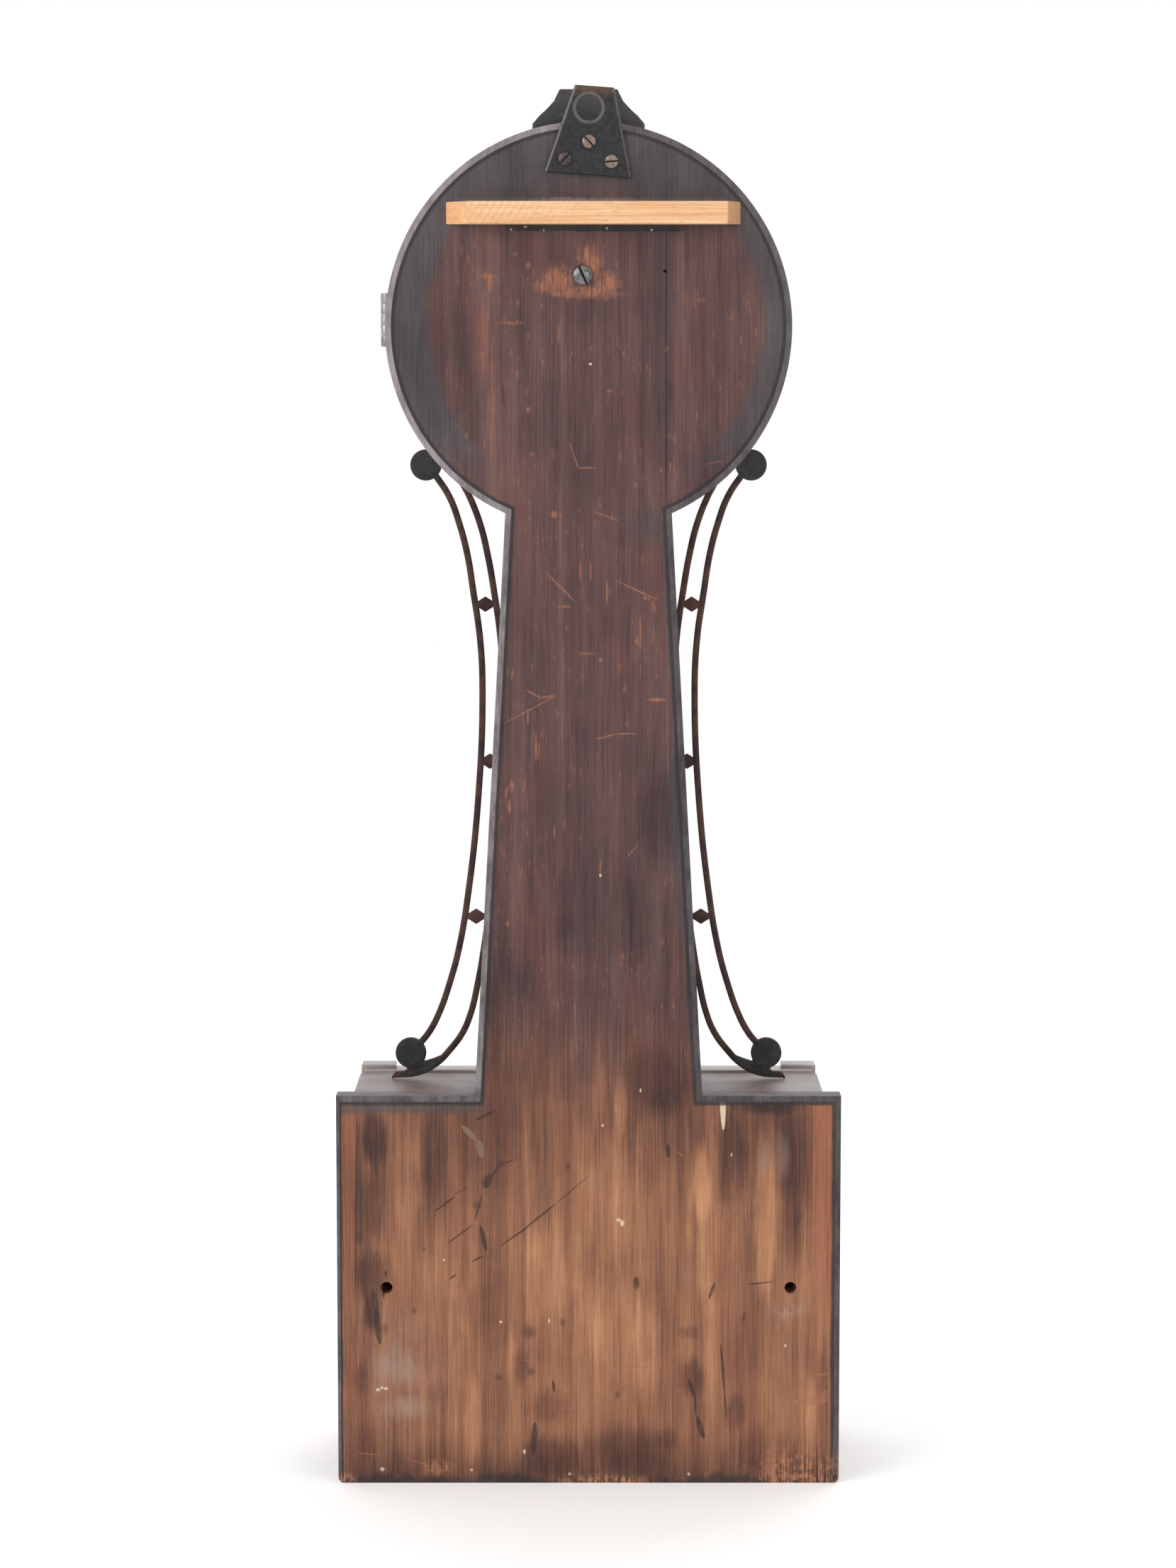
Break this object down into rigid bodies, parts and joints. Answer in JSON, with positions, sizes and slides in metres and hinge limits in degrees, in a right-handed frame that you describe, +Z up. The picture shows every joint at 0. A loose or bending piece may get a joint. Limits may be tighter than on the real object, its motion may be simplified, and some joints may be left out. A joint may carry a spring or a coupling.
{
  "type": "banjo clock",
  "caption": "Weight-driven pendulum wall clock in a banjo-shaped case: round head, tapering waist, box base, side arms, hinged bezel and door.",
  "frame": {"origin": "middle of the bounding box's underside, at the underside of the base", "axes": "+Z up, the back that goes against the wall faces +Y, the dial faces -Y, +X is the right as seen from the front, where the hinges are"},
  "size_m": [0.254, 0.1232, 0.7022],
  "materials": {
    "case_board": "aged stained pine, dark at the head, golden brown at the base",
    "raw_wood": "raw sawn pine",
    "hanger_iron": "blackened iron with rubbed edges",
    "screw_steel": "worn steel",
    "black_wood": "black painted pine, worn at the edges",
    "case_wood": "satin stained pine",
    "frame_wood": "polished mahogany",
    "tablet_glass": "glass painted from behind",
    "clear_glass": "clear domed glass",
    "arm_brass": "brass gone brown",
    "bezel_brass": "polished brass with light tarnish",
    "hinge_steel": "plated steel",
    "dial_paint": "cream paint on iron",
    "blued_steel": "blued steel",
    "movement_brass": "matt brass",
    "pallet_steel": "ground steel",
    "weight_iron": "grey iron",
    "line_cord": "braided line"
  },
  "bodies": {
    "case": {"backboard": "case_board", "spacer_batten": "raw_wood", "weight_baffle": "raw_wood", "hanger_plate": "hanger_iron", "hanger_screw_top": "screw_steel", "hanger_screw_left": "screw_steel", "hanger_screw_right": "screw_steel", "movement_screw": "screw_steel", "head_rim": "black_wood", "plinth": "black_wood", "waist_side_left": "case_wood", "waist_side_right": "case_wood", "base_side_left": "case_wood", "base_side_right": "case_wood", "base_bottom": "case_wood", "base_shoulder_left": "case_wood", "base_shoulder_right": "case_wood", "waist_frame": "frame_wood", "waist_glass": "tablet_glass", "side_arm_left": "arm_brass", "side_arm_right": "arm_brass", "door_hinge_case_leaf_upper": "bezel_brass", "door_hinge_case_leaf_lower": "bezel_brass", "bezel_hinge_case_leaf": "hinge_steel", "dial": "dial_paint", "movement_back_plate": "movement_brass", "movement_front_plate": "movement_brass", "suspension_bridge": "movement_brass"},
    "bezel": {"bezel": "bezel_brass", "bezel_glass": "clear_glass", "bezel_hinge_leaf": "hinge_steel"},
    "base_door": {"door_frame": "frame_wood", "door_glass": "tablet_glass", "door_block_upper_left": "frame_wood", "door_block_upper_right": "frame_wood", "door_block_lower_left": "frame_wood", "door_block_lower_right": "frame_wood", "door_hinge_leaf_upper": "bezel_brass", "door_hinge_leaf_lower": "bezel_brass"},
    "latch": {"door_latch": "bezel_brass"},
    "minute_arbor": {"centre_wheel": "movement_brass", "cannon_pinion": "movement_brass", "minute_hand": "blued_steel"},
    "great_wheel": {"great_wheel": "movement_brass"},
    "third_wheel": {"third_wheel": "movement_brass"},
    "escape_wheel": {"escape_wheel": "movement_brass"},
    "minute_wheel": {"minute_wheel": "movement_brass"},
    "hour_wheel": {"hour_wheel": "movement_brass", "hour_hand": "blued_steel"},
    "pallets": {"pallets": "pallet_steel"},
    "pendulum": {"pendulum_rod": "movement_brass"},
    "bob": {"pendulum_bob": "bezel_brass"},
    "rating_nut": {"rating_nut": "movement_brass"},
    "weight": {"weight": "weight_iron", "weight_line": "line_cord"},
    "pulley": {"weight_pulley": "movement_brass"},
    "barrel": {"barrel": "movement_brass"}
  },
  "joints": [
    {"name": "bezel_hinge", "type": "hinge", "parent": "case", "child": "bezel", "pos_m": [0.1035, -0.0224, 0.588], "axis": [0, 0, 1], "range_deg": [0, 105]},
    {"name": "door_hinge", "type": "hinge", "parent": "case", "child": "base_door", "pos_m": [0.1231, -0.0336, 0.1], "axis": [0, 0, 1], "range_deg": [0, 105]},
    {"name": "latch_turn", "type": "hinge", "parent": "base_door", "child": "latch", "pos_m": [-0.108, -0.0424, 0.105], "axis": [0, -1, 0], "range_deg": [0, 90]},
    {"name": "minute_arbor_turn", "type": "hinge", "parent": "case", "child": "minute_arbor", "pos_m": [0, 0.0126, 0.5828], "axis": [0, 1, 0], "continuous": true},
    {"name": "great_wheel_turn", "type": "hinge", "parent": "case", "child": "great_wheel", "pos_m": [0.017, 0.0346, 0.55299], "axis": [0, 1, 0], "continuous": true},
    {"name": "third_wheel_turn", "type": "hinge", "parent": "case", "child": "third_wheel", "pos_m": [-0.01859, 0.0226, 0.6032], "axis": [0, 1, 0], "continuous": true},
    {"name": "escape_wheel_turn", "type": "hinge", "parent": "case", "child": "escape_wheel", "pos_m": [0, 0.0186, 0.61], "axis": [0, 1, 0], "continuous": true},
    {"name": "minute_wheel_turn", "type": "hinge", "parent": "case", "child": "minute_wheel", "pos_m": [-0.01376, 0.0026, 0.57316], "axis": [0, 1, 0], "continuous": true},
    {"name": "hour_wheel_turn", "type": "hinge", "parent": "case", "child": "hour_wheel", "pos_m": [0, 0.0006, 0.5828], "axis": [0, 1, 0], "continuous": true},
    {"name": "pendulum_swing", "type": "hinge", "parent": "case", "child": "pendulum", "pos_m": [0, -0.003, 0.638], "axis": [0, 1, 0], "range_deg": [-2.5, 2.5]},
    {"name": "pallets_rock", "type": "hinge", "parent": "case", "child": "pallets", "pos_m": [0, 0.0186, 0.632], "axis": [0, 1, 0], "range_deg": [-3.1, 3.1]},
    {"name": "bob_slide", "type": "slide", "parent": "pendulum", "child": "bob", "axis": [0, 0, 1], "range_m": [-0.004, 0.004]},
    {"name": "rating_nut_turn", "type": "hinge", "parent": "bob", "child": "rating_nut", "pos_m": [0, -0.003, 0.0793], "axis": [0, 0, 1], "range_deg": [-2060, 2060]},
    {"name": "weight_drop", "type": "slide", "parent": "case", "child": "weight", "axis": [0, 0, -1], "range_m": [0, 0.34], "deforming": ["weight_line"]},
    {"name": "pulley_turn", "type": "hinge", "parent": "weight", "child": "pulley", "pos_m": [0, 0.0236, 0.52], "axis": [0, 1, 0], "range_deg": [0, 1990]},
    {"name": "barrel_turn", "type": "hinge", "parent": "case", "child": "barrel", "pos_m": [0.017, 0.0226, 0.55299], "axis": [0, 1, 0], "range_deg": [-5415, 0]}
  ],
  "couplings": [
    {"joint": "great_wheel_turn", "follows": "minute_arbor_turn", "ratio": -0.083333},
    {"joint": "third_wheel_turn", "follows": "minute_arbor_turn", "ratio": -10.5},
    {"joint": "escape_wheel_turn", "follows": "minute_arbor_turn", "ratio": 84},
    {"joint": "minute_wheel_turn", "follows": "minute_arbor_turn", "ratio": -0.33333},
    {"joint": "hour_wheel_turn", "follows": "minute_arbor_turn", "ratio": 0.083333},
    {"joint": "pallets_rock", "follows": "pendulum_swing", "ratio": 1.2101},
    {"joint": "rating_nut_turn", "follows": "bob_slide", "rad_per_m": 8976},
    {"joint": "barrel_turn", "follows": "weight_drop", "rad_per_m": -277.78},
    {"joint": "pulley_turn", "follows": "weight_drop", "rad_per_m": 102.04}
  ]
}
